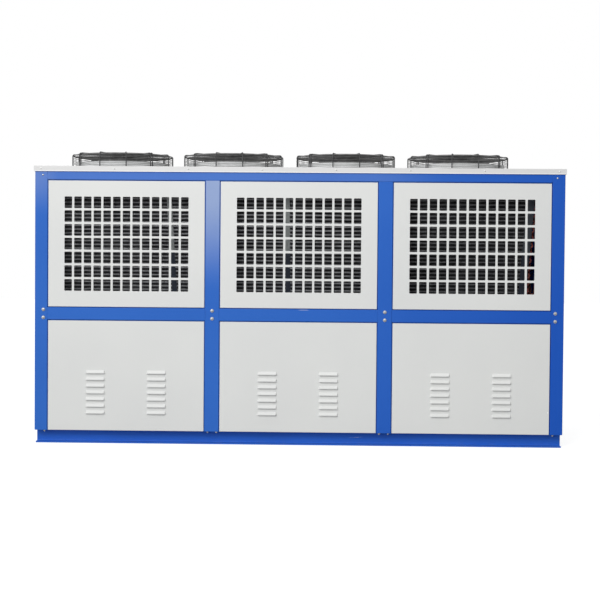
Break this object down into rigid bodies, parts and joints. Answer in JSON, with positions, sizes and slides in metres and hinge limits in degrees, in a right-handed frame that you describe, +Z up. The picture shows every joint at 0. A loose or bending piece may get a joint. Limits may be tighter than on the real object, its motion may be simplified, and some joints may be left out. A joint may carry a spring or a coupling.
{
  "type": "air-cooled condensing unit",
  "caption": "Long box-shaped condensing unit with a folded frame, grilles and louvred panels, leaning finned coils and a row of guarded axial fans blowing upwards.",
  "frame": {"origin": "centre of the base, on the ground", "axes": "+X along the unit towards the header end, -Y out of the front, +Z up"},
  "size_m": [3.015, 1.115, 1.683],
  "materials": {
    "frame_blue": "semi-gloss powder coat",
    "base_blue": "semi-gloss paint",
    "panel_white": "satin powder coat",
    "cover_white": "satin powder coat",
    "galvanised": "galvanised sheet",
    "coil_fins": "plain fin stock",
    "copper": "tarnished copper tube",
    "ring_grey": "satin paint",
    "guard_black": "satin plastic-coated wire",
    "rotor_black": "satin paint",
    "motor_black": "matt paint"
  },
  "bodies": {
    "unit": {"back_grille_left": "panel_white", "back_grille_middle": "panel_white", "back_grille_right": "panel_white", "back_mid_posts": "frame_blue", "back_mid_rails": "frame_blue", "back_panel_left": "panel_white", "back_panel_middle": "panel_white", "back_panel_right": "panel_white", "base_cross_members": "base_blue", "base_rail_back": "base_blue", "base_rail_front": "base_blue", "coil_back": "coil_fins", "coil_deck": "galvanised", "coil_front": "coil_fins", "coil_headers": "copper", "coil_plates": "galvanised", "corner_posts": "frame_blue", "end_mid_rails": "frame_blue", "end_panel_lower_left": "panel_white", "end_panel_lower_right": "panel_white", "end_panel_upper_left": "panel_white", "end_panel_upper_right": "panel_white", "fan_guard_1": "guard_black", "fan_guard_2": "guard_black", "fan_guard_3": "guard_black", "fan_guard_4": "guard_black", "fan_motors": "motor_black", "fan_ring_1": "ring_grey", "fan_ring_2": "ring_grey", "fan_ring_3": "ring_grey", "fan_ring_4": "ring_grey", "floor_plate": "galvanised", "front_grille_left": "panel_white", "front_grille_middle": "panel_white", "front_grille_right": "panel_white", "front_mid_posts": "frame_blue", "front_mid_rails": "frame_blue", "front_panel_left": "panel_white", "front_panel_middle": "panel_white", "front_panel_right": "panel_white", "top_cover": "cover_white", "top_rails": "frame_blue"},
    "rotor_1": {"fan_rotor_1": "rotor_black"},
    "rotor_2": {"fan_rotor_2": "rotor_black"},
    "rotor_3": {"fan_rotor_3": "rotor_black"},
    "rotor_4": {"fan_rotor_4": "rotor_black"}
  },
  "joints": [
    {"name": "fan_1_spin", "type": "hinge", "parent": "unit", "child": "rotor_1", "pos_m": [-1.084, 0, 1.612], "axis": [0, 0, 1], "continuous": true},
    {"name": "fan_2_spin", "type": "hinge", "parent": "unit", "child": "rotor_2", "pos_m": [-0.408, 0, 1.612], "axis": [0, 0, 1], "continuous": true},
    {"name": "fan_3_spin", "type": "hinge", "parent": "unit", "child": "rotor_3", "pos_m": [0.268, 0, 1.612], "axis": [0, 0, 1], "continuous": true},
    {"name": "fan_4_spin", "type": "hinge", "parent": "unit", "child": "rotor_4", "pos_m": [0.944, 0, 1.612], "axis": [0, 0, 1], "continuous": true}
  ]
}
